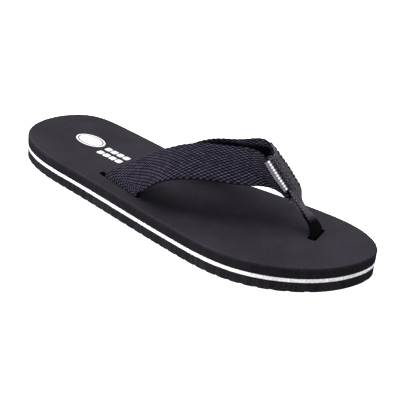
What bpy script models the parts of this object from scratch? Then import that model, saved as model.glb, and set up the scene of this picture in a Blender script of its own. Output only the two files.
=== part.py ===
"""A right-foot flip flop: three foam layers, two webbing straps and a toe post.

Metres, +Z up. The origin is on the ground under the middle of the sole's box, with the toe at -Y,
the heel at +Y and the medial (big toe) side at +X. The shapes are drawn in millimetres as
(u, v, z): u runs from the back of the heel to the tip of the toe, v from the heel's middle to the
medial side, and z up from the ground. to_world() turns them into metres in the frame above.
"""

import math

import bmesh
import bpy
import numpy as np
from mathutils import Matrix

MM = 0.001
GAP = 0.3                 # clearance between pieces that touch
CUT_MARGIN = 1.0          # how far a cutter reaches past the face that it opens
SHARP_ANGLE = 35          # degrees between two faces that don't shade smoothly into each other

# ---- sole ----
SOLE_LENGTH = 280.0
OUTSOLE_THICKNESS = 6.3
MIDSOLE_THICKNESS = 2.8
FOOTBED_THICKNESS = 6.9
MIDSOLE_BOTTOM = OUTSOLE_THICKNESS + GAP
FOOTBED_BOTTOM = MIDSOLE_BOTTOM + MIDSOLE_THICKNESS + GAP
FOOTBED_TOP = FOOTBED_BOTTOM + FOOTBED_THICKNESS
TOP_EDGE_RADIUS = 1.5
GROUND_EDGE = 0.4         # chamfer round the outsole's lower edge
OUTLINE_POINTS = 112
# The sole's outline from the heel, up the medial side, round the toe and back along the lateral side.
OUTLINE = [
    (0, 2), (13, 29.5), (46, 35), (92, 33), (139, 31.5), (182, 39), (223.5, 45.5), (258, 44.5),
    (277, 31.5), (278.5, 7), (259.5, -27), (223.5, -49), (181.5, -52), (128.5, -49), (78.5, -46),
    (34, -41), (8.5, -26),
]

# ---- tread: grooves across the outsole's underside ----
GROOVE_WIDTH = 2.2
GROOVE_DEPTH = 0.9
GROOVE_PITCH = 8.0
GROOVE_END_MARGIN = 10.0

# ---- straps ----
WEBBING_THICKNESS = 2.4
STRAP_CROWN = 1.2         # how far the middle of a strap's width stands proud of its edges
CROWN_RISE = 12.0         # the crown comes in over this height above the footbed
CROWN_FADE = 0.08         # and dies away over this share of the length
FLAT_END = 0.02           # before this share of it, which is flat under the tape
STRAP_ROWS = 46
STRAP_COLUMNS = 4
TAB_LENGTH = 15.0         # each webbing end lies flat under the footbed for this far
TAB_FACE_Z = FOOTBED_BOTTOM + GAP   # the tab's outer face, which is turned down
# The tab and its bend, as (distance in from the slot, height above TAB_FACE_Z), and the straight
# stretch up through the slot, as heights from the footbed's top.
TAB_BEND = [(TAB_LENGTH, 0.0), (9.0, 0.0), (4.0, 0.2), (0.9, 2.0)]
SLOT_STRETCH = (-2.2, 0.6)
SLOT_PLAY = 0.5
SLOT_LEAN = 1.3           # extra room on the slot's inner side, where the strap leans over
SLOT_OVERRUN = 2.0        # how far a slot reaches past the strap at its toe end
SLOT_HEEL_OVERRUN = 6.0   # and at its heel end
POCKET_HEIGHT = 3.5
POCKET_OVERRUN = 1.2      # how far the pocket for a webbing tab reaches past it

# Outer face of each strap, from the slot to the join: (heel-side edge, toe-side edge).
LATERAL_SLOT = [(99, -35), (134, -39.5)]
LATERAL_STATIONS = [
    ((107, -28.5, 25), (139, -40.8, 23)),
    ((118.5, -21, 34.7), (146, -41, 29.5)),
    ((131.5, -14, 43.7), (153.5, -40.2, 36)),
    ((143, -9, 50), (162, -37.3, 40.4)),
    ((157, -3, 54.5), (178.5, -27, 43.6)),
    ((175, 2.5, 57.5), (202, -8.5, 43.3)),
    ((190, 4.2, 60), (213.5, 2.5, 41.5)),
    ((201, 5.7, 58.1), (220.9, 7.8, 36.9)),
]
LATERAL_END = ((203.8, 10, 53.8), (219.7, 13.4, 35.6))   # under the tape, as MEDIAL_END is
MEDIAL_SLOT = [(99, 22), (134, 22)]
MEDIAL_STATIONS = [
    ((105, 18, 24), (137.5, 26, 22.5)),
    ((113.5, 14, 30), (144, 30, 28.5)),
    ((124, 12.2, 35.8), (152, 32, 33.5)),
    ((134, 12, 42), (160, 33, 37.5)),
    ((143.5, 12, 47.8), (168, 33, 40.5)),
    ((155, 13, 53), (181, 31.5, 43)),
    ((176, 14.8, 59.8), (200.5, 28, 43.3)),
    ((193.8, 18.1, 62.3), (219.6, 21.3, 38.4)),
]
MEDIAL_END = ((200, 13.8, 58.5), (220.6, 16.1, 37.3))

# ---- toe post: a tape over the join that goes on down as the post, and a second one behind it ----
TAPE_THICKNESS = 1.6
TAPE_CROWN = 1.0
TAPE_NOTCH = 3.2          # the V in the tape's top edge, in rows
TAPE_NOTCH_FADE = 9       # rows over which the V dies away
TAPE_ROWS = 40
TAPE_END_Z = OUTSOLE_THICKNESS + 0.7   # the tapes end over the anchor
# Outer face of the tape, from the top of the join down the post: (lateral edge, medial edge).
TAPE_STATIONS = [
    ((202.8, 6.3, 59.6), (195.2, 18.2, 64)),
    ((209, 7.8, 53), (202, 19.2, 58.2)),
    ((215.5, 9.2, 46.2), (210.5, 20.4, 51)),
    ((220.3, 10.2, 40.4), (217.5, 21.5, 43.8)),
    ((223.4, 10.6, 37), (221.2, 21.5, 39.3)),
    ((226.5, 11.4, 34.4), (223.4, 19.4, 34.6)),
    ((230.5, 11.4, 31.8), (228, 19, 30)),
    ((236, 11, 28), (233.6, 19.4, 26.8)),
    ((240.6, 9.8, 23.8), (238, 21.2, 22.6)),
    ((243.2, 8.4, 19.4), (239.6, 23, 18.8)),
    ((243.8, 7.8, 15.5), (239.8, 23.8, 15.3)),
    ((243.8, 7.8, TAPE_END_Z), (239.8, 23.8, TAPE_END_Z)),
]
INNER_TAPE_START = 0.25   # share of the tape's length left clear above the inner tape
INNER_TAPE_INSET = 0.1    # share of the width left clear at each edge of the inner tape
UNDER_STRAPS = TAPE_THICKNESS + WEBBING_THICKNESS + 2.0   # depth of the inner tape under the join
JOIN_END = 0.455          # shares of the tape's length: here the inner tape leaves the straps
POST_START = 0.54         # and here it lies against the outer tape
POST_HOLE_PLAY = 0.7
HOLE_CORNER_STEPS = 3      # flats round each corner of the post's hole
ANCHOR_RADIUS = 12.0
ANCHOR_THICKNESS = 2.6
ANCHOR_POINTS = 32

# ---- label ----
LABEL_LENGTH = 22.0
LABEL_WIDTH = 4.9
LABEL_THICKNESS = 0.7
LABEL_LIFT = 1.0          # from the webbing's outer face to the label's underside
LABEL_ALONG = 0.9632      # hinge line, as a share of the strap's length from the slot
LABEL_LEAN = 5.5          # degrees that its upper end leans towards the heel
LABEL_ACROSS = 0.555      # middle of the label, as a share of the strap's width from its toe edge

# ---- stitching ----
THREAD_RADIUS = 0.3
STITCH_ROWS = slice(2, 17)   # rows of the tape that the stitch lines run over
# Each stitch line's share of the tape's width, from its lateral edge. The needles run in pairs.
STITCH_LINES = {"lateral_outer": 0.1, "lateral_inner": 0.28, "medial_inner": 0.72, "medial_outer": 0.9}


def to_world(points):
    """Millimetres (u, v, z) to metres in the part's frame."""
    points = np.atleast_2d(np.asarray(points, float))
    return np.stack([points[:, 1] - V_MIDDLE, U_MIDDLE - points[:, 0], points[:, 2]], axis=1) * MM


def spline(points, count, closed=False):
    """count points at even steps along a cubic spline through the given points, of any dimension."""
    points = np.asarray(points, float)
    if closed:
        points = np.vstack([points, points[:1]])
    spans = np.linalg.norm(np.diff(points, axis=0), axis=1)
    knots = np.concatenate([[0], np.cumsum(spans)])
    slopes = np.diff(points, axis=0) / spans[:, None]
    last = len(knots) - 1
    matrix = np.zeros((last + 1, last + 1))
    target = np.zeros_like(points)
    for i in range(1, last):
        matrix[i, i - 1] = spans[i - 1]
        matrix[i, i] = 2 * (spans[i - 1] + spans[i])
        matrix[i, i + 1] = spans[i]
        target[i] = 6 * (slopes[i] - slopes[i - 1])
    matrix[0, 0] = 1
    if closed:
        matrix[0, last] = -1
        matrix[last, 0] = 2 * spans[0]
        matrix[last, 1] = spans[0]
        matrix[last, last - 1] = spans[-1]
        matrix[last, last] = 2 * spans[-1]
        target[last] = 6 * (slopes[0] - slopes[-1])
    else:
        matrix[last, last] = 1
    bends = np.linalg.solve(matrix, target)
    where = np.linspace(0, knots[-1], count, endpoint=not closed)
    span = np.clip(np.searchsorted(knots, where, side="right") - 1, 0, last - 1)
    width = spans[span]
    after = ((where - knots[span]) / width)[:, None]
    before = 1 - after
    curve = (before**3 - before) * bends[span] + (after**3 - after) * bends[span + 1]
    return before * points[span] + after * points[span + 1] + curve * width[:, None] ** 2 / 6


OUTLINE_CURVE = spline(OUTLINE, OUTLINE_POINTS, closed=True)
U_MIDDLE = (OUTLINE_CURVE[:, 0].min() + OUTLINE_CURVE[:, 0].max()) / 2
V_MIDDLE = (OUTLINE_CURVE[:, 1].min() + OUTLINE_CURVE[:, 1].max()) / 2


def clear_scene():
    for old in list(bpy.data.objects):
        bpy.data.objects.remove(old, do_unlink=True)


def material(name, colour, roughness):
    made = bpy.data.materials.new(name)
    made.use_nodes = True
    shader = made.node_tree.nodes["Principled BSDF"]
    shader.inputs["Base Color"].default_value = (*colour, 1)
    shader.inputs["Roughness"].default_value = roughness
    shader.inputs["Metallic"].default_value = 0.0
    return made


def add_object(name, points, faces, look=None):
    """A mesh object whose faces all point out."""
    mesh = bpy.data.meshes.new(name)
    mesh.from_pydata([tuple(p) for p in points], [], faces)
    shape = bmesh.new()
    shape.from_mesh(mesh)
    bmesh.ops.recalc_face_normals(shape, faces=shape.faces)
    shape.to_mesh(mesh)
    shape.free()
    made = bpy.data.objects.new(name, mesh)
    bpy.context.scene.collection.objects.link(made)
    if look:
        mesh.materials.append(look)
        mesh.shade_smooth()
        mesh.set_sharp_from_angle(angle=math.radians(SHARP_ANGLE))
    return made


def inset_outline(distance):
    """The sole's outline moved inwards, in (u, v)."""
    along = np.roll(OUTLINE_CURVE, -1, axis=0) - np.roll(OUTLINE_CURVE, 1, axis=0)
    along /= np.linalg.norm(along, axis=1)[:, None]
    turn = np.roll(along, -1, axis=0) - np.roll(along, 1, axis=0)
    inwards = np.stack([along[:, 1], -along[:, 0]], axis=1)
    if (inwards * turn).sum() < 0:
        inwards = -inwards
    return OUTLINE_CURVE + inwards * distance


def add_layer(name, rings, look):
    """A sole layer from (inset, height) rings, bottom to top."""
    points = []
    for inset, height in rings:
        flat = inset_outline(inset)
        points.append(to_world(np.column_stack([flat, np.full(len(flat), height)])))
    n = OUTLINE_POINTS
    faces = [list(range(n)), list(range((len(rings) - 1) * n, len(rings) * n))]
    for ring in range(len(rings) - 1):
        for i in range(n):
            j = (i + 1) % n
            faces.append([ring * n + i, ring * n + j, (ring + 1) * n + j, (ring + 1) * n + i])
    return add_object(name, np.vstack(points), faces, look)


def add_block(name, corners_uv, low, high):
    """A cutter: an upright prism over a convex (u, v) polygon."""
    n = len(corners_uv)
    rings = [to_world([(u, v, z) for u, v in corners_uv]) for z in (low, high)]
    faces = [list(range(n)), list(range(n, 2 * n))]
    faces += [[i, (i + 1) % n, n + (i + 1) % n, n + i] for i in range(n)]
    made = add_object(name, np.vstack(rings), faces)
    made.hide_render = True
    made.display_type = "WIRE"
    return made


def cut(target, cutter):
    boolean = target.modifiers.new("cut_" + cutter.name, "BOOLEAN")
    boolean.operation = "DIFFERENCE"
    boolean.solver = "EXACT"
    boolean.object = cutter


def rows_between(stations, count):
    """Even rows along a band, as (first edge, second edge) arrays in millimetres."""
    both = spline([np.concatenate(pair) for pair in stations], count)
    return both[:, :3], both[:, 3:]


def band_grid(first, second, crown, columns=STRAP_COLUMNS):
    """Points and outward normals over a band, as (rows, columns + 1, 3) arrays in millimetres."""
    share = np.linspace(0, 1, columns + 1)[None, :, None]
    grid = first[:, None] * (1 - share) + second[:, None] * share
    along = np.gradient(grid, axis=0)
    across = np.repeat((second - first)[:, None], columns + 1, axis=1)
    normals = np.cross(along, across)
    normals /= np.linalg.norm(normals, axis=2)[:, :, None]
    return grid + normals * crown * 4 * share * (1 - share), normals


def add_band(name, grid, normals, top, bottom, look):
    """A closed band between two depths under its outer face. A depth may change from row to row."""
    rows, columns = grid.shape[:2]
    top = np.broadcast_to(top, rows)[:, None, None]
    bottom = np.broadcast_to(bottom, rows)[:, None, None]
    sheets = [grid - normals * top, grid - normals * bottom]
    points = to_world(np.vstack([sheet.reshape(-1, 3) for sheet in sheets]))
    under = rows * columns
    faces = []
    for r in range(rows - 1):
        for c in range(columns - 1):
            a = r * columns + c
            quad = [a, a + 1, a + columns + 1, a + columns]
            faces.append(quad)
            faces.append([i + under for i in reversed(quad)])
    rim = list(range(columns))
    rim += [r * columns + columns - 1 for r in range(1, rows)]
    rim += [(rows - 1) * columns + c for c in reversed(range(columns - 1))]
    rim += [r * columns for r in reversed(range(1, rows - 1))]
    for here, there in zip(rim, rim[1:] + rim[:1]):
        faces.append([here, there, there + under, here + under])
    return add_object(name, points, faces, look)


def slot_frame(slot, inward):
    """Unit vectors along a slot and towards the sole's middle, in (u, v)."""
    heel_end, toe_end = np.asarray(slot, float)
    along = (toe_end - heel_end) / np.linalg.norm(toe_end - heel_end)
    side = np.array([-along[1], along[0]])
    return along, side if side[1] * inward > 0 else -side


def strap_stations(slot, inward, stations, end):
    """The whole strap's outer face: tab, bend, slot, arch and the end under the tape."""
    side = slot_frame(slot, inward)[1]
    route = [(reach, TAB_FACE_Z + rise) for reach, rise in TAB_BEND]
    route += [(0.0, FOOTBED_TOP + rise) for rise in SLOT_STRETCH]
    lower = []
    for reach, height in route:
        lower.append(tuple((*(np.asarray(point) + side * reach), height) for point in slot))
    return lower + list(stations) + [end]


def add_strap(name, slot, inward, stations, end, look):
    first, second = rows_between(strap_stations(slot, inward, stations, end), STRAP_ROWS)
    if inward > 0:
        first, second = second, first
    grid, normals = band_grid(first, second, STRAP_CROWN)
    level, _ = band_grid(first, second, 0.0)
    above = np.clip((grid[:, :1, 2:] - FOOTBED_TOP) / CROWN_RISE, 0, 1)
    left = np.linspace(1, 0, STRAP_ROWS)[:, None, None]
    before = np.clip((left - FLAT_END) / CROWN_FADE, 0, 1)
    grid = level + (grid - level) * above * before
    add_band(name, grid, normals, 0, WEBBING_THICKNESS, look)
    return grid, normals


def cut_strap_slot(footbed, prefix, slot, inward):
    """A slot through the footbed, and a pocket under it for the webbing's flat tab."""
    along, side = slot_frame(slot, inward)
    heel_end, toe_end = np.asarray(slot, float)
    low = heel_end - along * SLOT_HEEL_OVERRUN
    high = toe_end + along * SLOT_OVERRUN
    outer = -SLOT_PLAY
    inner = WEBBING_THICKNESS + SLOT_LEAN
    corners = [low + side * outer, high + side * outer, high + side * inner, low + side * inner]
    bottom = FOOTBED_BOTTOM - CUT_MARGIN
    cut(footbed, add_block(prefix + "_slot_cutter", corners, bottom, FOOTBED_TOP + CUT_MARGIN))
    low = heel_end - along * POCKET_OVERRUN
    high = toe_end + along * POCKET_OVERRUN
    outer = -SLOT_PLAY - POCKET_OVERRUN
    inner = TAB_LENGTH + POCKET_OVERRUN
    corners = [low + side * outer, high + side * outer, high + side * inner, low + side * inner]
    top = FOOTBED_BOTTOM + POCKET_HEIGHT
    cut(footbed, add_block(prefix + "_pocket_cutter", corners, bottom, top))


def post_hole_corners():
    """The toe post's hole: the tapes' section at the footbed, with play, and its corners rounded."""
    lateral, medial = (np.asarray(point[:2], float) for point in TAPE_STATIONS[-1])
    across = (medial - lateral) / np.linalg.norm(medial - lateral)
    front = np.array([across[1], -across[0]])
    depth = 2 * TAPE_THICKNESS + GAP + TAPE_CROWN
    middle = (lateral + medial) / 2 + front * (TAPE_CROWN - depth / 2)
    half_width = np.linalg.norm(medial - lateral) / 2 + POST_HOLE_PLAY
    half_depth = depth / 2 + POST_HOLE_PLAY
    corners = []
    for corner in range(4):
        for step in range(HOLE_CORNER_STEPS + 1):
            angle = math.radians(90 * (corner + step / HOLE_CORNER_STEPS))
            centre_x = (half_width - half_depth / 2) * (1 if corner in (0, 3) else -1)
            centre_y = half_depth / 2 * (1 if corner in (0, 1) else -1)
            x = centre_x + half_depth / 2 * math.cos(angle)
            y = centre_y + half_depth / 2 * math.sin(angle)
            corners.append(middle + across * x + front * y)
    return corners


def add_tread(outsole):
    """One cutter made of parallel bars, across the underside from side to side."""
    shape = bmesh.new()
    count = int((SOLE_LENGTH - 2 * GROOVE_END_MARGIN) / GROOVE_PITCH)
    start = -(count - 1) / 2 * GROOVE_PITCH
    for i in range(count):
        centre = Matrix.Translation((0, (start + i * GROOVE_PITCH) * MM, 0))
        size = Matrix.Diagonal((SOLE_LENGTH * MM, GROOVE_WIDTH * MM, 2 * GROOVE_DEPTH * MM, 1))
        bmesh.ops.create_cube(shape, size=1, matrix=centre @ size)
    mesh = bpy.data.meshes.new("tread_cutter")
    shape.to_mesh(mesh)
    shape.free()
    cutter = bpy.data.objects.new("tread_cutter", mesh)
    cutter.hide_render = True
    cutter.display_type = "WIRE"
    bpy.context.scene.collection.objects.link(cutter)
    cut(outsole, cutter)


def add_sole(footbed_look, midsole_look, outsole_look):
    round_steps = [(1 - math.cos(a), math.sin(a)) for a in (0, math.radians(45), math.radians(90))]
    edge = FOOTBED_TOP - TOP_EDGE_RADIUS
    rings = [(0, FOOTBED_BOTTOM)]
    rings += [(TOP_EDGE_RADIUS * inset, edge + TOP_EDGE_RADIUS * rise) for inset, rise in round_steps]
    footbed = add_layer("footbed", rings, footbed_look)
    midsole_rings = [(0, MIDSOLE_BOTTOM), (0, MIDSOLE_BOTTOM + MIDSOLE_THICKNESS)]
    midsole = add_layer("midsole", midsole_rings, midsole_look)
    outsole_rings = [(GROUND_EDGE, 0), (0, GROUND_EDGE), (0, OUTSOLE_THICKNESS)]
    outsole = add_layer("outsole", outsole_rings, outsole_look)
    cut_strap_slot(footbed, "lateral", LATERAL_SLOT, 1)
    cut_strap_slot(footbed, "medial", MEDIAL_SLOT, -1)
    low, high = MIDSOLE_BOTTOM - CUT_MARGIN, FOOTBED_TOP + CUT_MARGIN
    hole = add_block("post_hole_cutter", post_hole_corners(), low, high)
    cut(footbed, hole)
    cut(midsole, hole)
    add_tread(outsole)
    return outsole


def circle(centre, radius):
    turn = [2 * math.pi * i / ANCHOR_POINTS for i in range(ANCHOR_POINTS)]
    return [(centre[0] + radius * math.cos(a), centre[1] + radius * math.sin(a)) for a in turn]


def add_anchor(outsole, look):
    """The disc that holds the toe tapes, in a round pocket in the outsole's top."""
    centre = np.mean([point[:2] for point in TAPE_STATIONS[-1]], axis=0)
    pocket = circle(centre, ANCHOR_RADIUS + GAP)
    bottom = OUTSOLE_THICKNESS - ANCHOR_THICKNESS - GAP
    cut(outsole, add_block("anchor_pocket_cutter", pocket, bottom, OUTSOLE_THICKNESS + CUT_MARGIN))
    disc = circle(centre, ANCHOR_RADIUS)
    levels = (bottom + GAP, bottom + GAP + ANCHOR_THICKNESS)
    rings = [to_world([(u, v, z) for u, v in disc]) for z in levels]
    n = ANCHOR_POINTS
    faces = [list(range(n)), list(range(n, 2 * n))]
    faces += [[i, (i + 1) % n, n + (i + 1) % n, n + i] for i in range(n)]
    add_object("toe_anchor", np.vstack(rings), faces, look)


def notch(values):
    """Slide the first rows of a tape along it, most at its middle, so that its top edge is a V."""
    rows, columns = values.shape[:2]
    made = values.copy()
    for column in range(columns):
        depth = TAPE_NOTCH * (1 - abs(2 * column / (columns - 1) - 1))
        for row in range(TAPE_NOTCH_FADE):
            place = row + depth * (1 - row / TAPE_NOTCH_FADE)
            low = int(place)
            part = place - low
            made[row, column] = values[low, column] * (1 - part) + values[low + 1, column] * part
    return made


def add_tapes(look):
    first, second = rows_between(TAPE_STATIONS, TAPE_ROWS)
    grid, normals = band_grid(first, second, TAPE_CROWN)
    grid, normals = notch(grid), notch(normals)
    add_band("toe_tape_outer", grid, normals, 0, TAPE_THICKNESS, look)
    start = int(INNER_TAPE_START * TAPE_ROWS)
    width = second - first
    inner, inner_normals = band_grid(
        first + width * INNER_TAPE_INSET, second - width * INNER_TAPE_INSET, 0.0
    )
    length = np.linspace(0, 1, TAPE_ROWS)
    ease = np.clip((length - JOIN_END) / (POST_START - JOIN_END), 0, 1)
    ease = ease * ease * (3 - 2 * ease)
    top = UNDER_STRAPS + (TAPE_THICKNESS + GAP - UNDER_STRAPS) * ease
    kept = slice(start, None)
    add_band("toe_tape_inner", inner[kept], inner_normals[kept], top[kept],
             top[kept] + TAPE_THICKNESS, look)
    return grid, normals


def on_band(values, along, across):
    """A band's value at shares of its length and width, from the grid points round the place."""
    rows, columns = values.shape[:2]
    row, row_part = divmod(along * (rows - 1), 1)
    column, column_part = divmod(across * (columns - 1), 1)
    row, column = int(row), int(column)
    row_after, column_after = min(row + 1, rows - 1), min(column + 1, columns - 1)
    both = [
        values[each, column] * (1 - column_part) + values[each, column_after] * column_part
        for each in (row, row_after)
    ]
    return both[0] * (1 - row_part) + both[1] * row_part


def add_label(grid, normals, look):
    """The flag label, with its hinge along its front edge. Its parent empty is on the hinge's axis."""
    centre = on_band(grid, LABEL_ALONG, LABEL_ACROSS)
    normal = on_band(normals, LABEL_ALONG, LABEL_ACROSS)
    across = on_band(grid, LABEL_ALONG, 1) - on_band(grid, LABEL_ALONG, 0)
    across /= np.linalg.norm(across)
    normal -= across * (normal @ across)
    normal /= np.linalg.norm(normal)
    back = np.cross(across, normal)
    if back @ (on_band(grid, 0.5, LABEL_ACROSS) - centre) < 0:
        back = -back
    lean = math.radians(LABEL_LEAN)
    across, back = (
        across * math.cos(lean) + back * math.sin(lean),
        back * math.cos(lean) - across * math.sin(lean),
    )
    base = centre + normal * (LABEL_LIFT + LABEL_THICKNESS / 2)
    corners = []
    for along in (-0.5, 0.5):
        for reach in (0, 1):
            for side in (-0.5, 0.5):
                corners.append(
                    base + across * LABEL_LENGTH * along + back * LABEL_WIDTH * reach
                    + normal * LABEL_THICKNESS * side
                )
    faces = [[0, 1, 3, 2], [4, 5, 7, 6], [0, 1, 5, 4], [2, 3, 7, 6], [0, 2, 6, 4], [1, 3, 7, 5]]
    label = add_object("flag_label", to_world(corners), faces, look)
    pivot = bpy.data.objects.new("label_hinge", None)
    bpy.context.scene.collection.objects.link(pivot)
    pivot.location = to_world(base)[0]
    bpy.context.view_layer.update()
    label.parent = pivot
    label.matrix_parent_inverse = pivot.matrix_world.inverted()


def add_thread(name, route, look):
    """A thread as one round tube along a route in millimetres."""
    points = to_world(route)
    curve = bpy.data.curves.new(name, "CURVE")
    curve.dimensions = "3D"
    curve.bevel_depth = THREAD_RADIUS * MM
    curve.bevel_resolution = 1
    curve.use_fill_caps = True
    line = curve.splines.new("POLY")
    line.points.add(len(points) - 1)
    for spot, place in zip(line.points, points):
        spot.co = (*place, 1)
    curve.materials.append(look)
    made = bpy.data.objects.new(name, curve)
    bpy.context.scene.collection.objects.link(made)


def add_seams(grid, normals, look):
    """A stitch line down each side of the tape over the join."""
    lift = THREAD_RADIUS + GAP
    surface = grid + normals * lift
    for name, share in STITCH_LINES.items():
        place = share * (grid.shape[1] - 1)
        low = int(math.floor(place))
        part = place - low
        route = surface[STITCH_ROWS, low] * (1 - part) + surface[STITCH_ROWS, low + 1] * part
        add_thread("seam_thread_" + name, route, look)


def main():
    clear_scene()
    footbed_look = material("footbed_foam", (0.045, 0.042, 0.046), 0.85)
    midsole_look = material("white_foam", (0.88, 0.87, 0.89), 0.7)
    outsole_look = material("outsole_foam", (0.02, 0.02, 0.022), 0.8)
    webbing = material("strap_webbing", (0.02, 0.019, 0.028), 0.75)
    tape = material("ribbed_tape", (0.03, 0.029, 0.034), 0.7)
    anchor = material("moulded_anchor", (0.02, 0.02, 0.02), 0.5)
    woven_label = material("woven_label", (0.12, 0.11, 0.13), 0.6)
    thread = material("thread", (0.012, 0.012, 0.015), 0.6)

    outsole = add_sole(footbed_look, midsole_look, outsole_look)
    add_anchor(outsole, anchor)
    lateral = add_strap(
        "lateral_webbing", LATERAL_SLOT, 1, LATERAL_STATIONS, LATERAL_END, webbing
    )
    add_strap("medial_webbing", MEDIAL_SLOT, -1, MEDIAL_STATIONS, MEDIAL_END, webbing)
    tape_grid, tape_normals = add_tapes(tape)
    add_label(*lateral, woven_label)
    add_seams(tape_grid, tape_normals, thread)


main()
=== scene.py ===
"""Looks for the flip flop: woven straps, ribbed toe tapes, stitches, label, print and foam sole."""

import math

import bmesh
import bpy
import numpy as np
from mathutils import Matrix, Vector


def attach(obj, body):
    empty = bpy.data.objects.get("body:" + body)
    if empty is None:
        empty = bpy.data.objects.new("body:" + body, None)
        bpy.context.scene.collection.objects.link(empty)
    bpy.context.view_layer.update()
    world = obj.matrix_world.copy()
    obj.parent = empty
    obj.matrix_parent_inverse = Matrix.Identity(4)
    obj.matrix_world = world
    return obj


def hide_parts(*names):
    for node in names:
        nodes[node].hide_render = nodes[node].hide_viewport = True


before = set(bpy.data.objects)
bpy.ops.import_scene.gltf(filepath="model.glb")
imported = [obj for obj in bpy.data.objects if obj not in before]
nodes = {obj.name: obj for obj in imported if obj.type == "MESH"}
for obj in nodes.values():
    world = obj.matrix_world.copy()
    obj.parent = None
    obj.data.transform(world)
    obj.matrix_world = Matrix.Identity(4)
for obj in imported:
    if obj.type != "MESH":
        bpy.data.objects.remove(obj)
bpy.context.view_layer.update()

SOLE = "sole_and_straps"
LABEL = "label"
MM = 0.001

# The CAD's drawing coordinates, in millimetres: u from heel to toe, v towards the medial side, z up.
U_MIDDLE = 139.9587
V_MIDDLE = -2.7767
FOOTBED_TOP = 16.6

# ---- bands of webbing ----
SLOPE_STEP = 2e-3          # share of the length used to find a band's direction
LENGTH_SAMPLES = 200

# ---- straps, as in the CAD ----
WEBBING_THICKNESS = 2.4
STRAP_CROWN = 1.2
CROWN_RISE = 12.0          # mm above the footbed over which the crown grows
CROWN_FADE = 0.08          # share of the length over which it dies away at the join
CROWN_CLEAR = 0.02         # and the share at the very end that has none
TAB_LENGTH = 15.0          # mm of webbing glued under the footbed
TAB_FACE_Z = 10.0
TAB_ROUTE = [              # how far inwards from the slot, and how high
    (TAB_LENGTH, TAB_FACE_Z), (9.0, TAB_FACE_Z), (4.0, TAB_FACE_Z + 0.2),
    (0.9, TAB_FACE_Z + 2.0), (0.0, FOOTBED_TOP - 2.2), (0.0, FOOTBED_TOP + 0.6),
]
LATERAL_SLOT = [(99, -35), (134, -39.5)]
LATERAL_STATIONS = [       # each station is a point on the strap's upper edge and one on its lower edge
    ((107, -28.5, 25), (139, -40.8, 23)),
    ((118.5, -21, 34.7), (146, -41, 29.5)),
    ((131.5, -14, 43.7), (153.5, -40.2, 36)),
    ((143, -9, 50), (162, -37.3, 40.4)),
    ((157, -3, 54.5), (178.5, -27, 43.6)),
    ((175, 2.5, 57.5), (202, -8.5, 43.3)),
    ((190, 4.2, 60), (213.5, 2.5, 41.5)),
    ((201, 5.7, 58.1), (220.9, 7.8, 36.9)),
]
LATERAL_END = ((203.8, 10, 53.8), (219.7, 13.4, 35.6))
MEDIAL_SLOT = [(99, 22), (134, 22)]
MEDIAL_STATIONS = [
    ((105, 18, 24), (137.5, 26, 22.5)),
    ((113.5, 14, 30), (144, 30, 28.5)),
    ((124, 12.2, 35.8), (152, 32, 33.5)),
    ((134, 12, 42), (160, 33, 37.5)),
    ((143.5, 12, 47.8), (168, 33, 40.5)),
    ((155, 13, 53), (181, 31.5, 43)),
    ((176, 14.8, 59.8), (200.5, 28, 43.3)),
    ((193.8, 18.1, 62.3), (219.6, 21.3, 38.4)),
]
MEDIAL_END = ((200, 13.8, 58.5), (220.6, 16.1, 37.3))

# ---- toe tapes, as in the CAD ----
TAPE_THICKNESS = 1.6
TAPE_CROWN = 1.0
TAPE_END_Z = 7.0
TAPE_STATIONS = [
    ((202.8, 6.3, 59.6), (195.2, 18.2, 64)),
    ((209, 7.8, 53), (202, 19.2, 58.2)),
    ((215.5, 9.2, 46.2), (210.5, 20.4, 51)),
    ((220.3, 10.2, 40.4), (217.5, 21.5, 43.8)),
    ((223.4, 10.6, 37), (221.2, 21.5, 39.3)),
    ((226.5, 11.4, 34.4), (223.4, 19.4, 34.6)),
    ((230.5, 11.4, 31.8), (228, 19, 30)),
    ((236, 11, 28), (233.6, 19.4, 26.8)),
    ((240.6, 9.8, 23.8), (238, 21.2, 22.6)),
    ((243.2, 8.4, 19.4), (239.6, 23, 18.8)),
    ((243.8, 7.8, 15.5), (239.8, 23.8, 15.3)),
    ((243.8, 7.8, TAPE_END_Z), (239.8, 23.8, TAPE_END_Z)),
]
NOTCH_SHARE = 3.2 / 39     # the V in the tape's top edge, as a share of its length
NOTCH_FADE = 9 / 39        # and where the V has died away
INNER_START = 10 / 39      # the inner tape starts this far down the outer one
INNER_INSET = 0.1          # and is narrower by this share of the width on each side
UNDER_STRAPS = 6.0         # mm, from the outer tape's face to the inner tape under the join
POST_GAP = 0.3             # mm between the two tapes in the post
JOIN_END = 0.455           # shares of the length between which the inner tape comes up to the outer one
POST_START = 0.54
SEWN_DOWN = 0.8            # mm that the tape's edges are drawn down where it is sewn
SEWN_EDGE = 0.2            # share of the tape's width that this bends
SEWN_END = 0.48            # share of the length where the sewing stops
SEWN_FADE = 0.08

# ---- weave ----
WARP_ENDS = 24             # warp yarns across a strap, about 1.4 mm each
PICK_PITCH = 2.1           # mm along a strap from one weft yarn to the next
STRAP_SAMPLES = (4, 4)     # mesh rows for each pick, and columns for each yarn
TAPE_ENDS = 14
TAPE_PICK_PITCH = 1.2
TAPE_SAMPLES = (5, 4)
TAPE_RELIEF = 0.35         # the tape's yarns stand this share as proud as the straps' do
WAVE = 0.3                 # mm, how far a warp yarn rises and dips
YARN = 0.34                # mm, how round a warp yarn stands
SKEW_ROWS = 41             # rows of the mesh over which the weft's direction is evened out
TWIST = 0.3                # how far a yarn's twist slants its crests, in picks from edge to edge
FLAT_EDGE = 0.3            # share of the weave's height that is left at a cut end and at a selvedge
SELVEDGE_YARNS = 0.8       # yarns over which the height dies away towards a selvedge
EDGE_BEND = 5              # points round each side edge of a band

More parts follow.
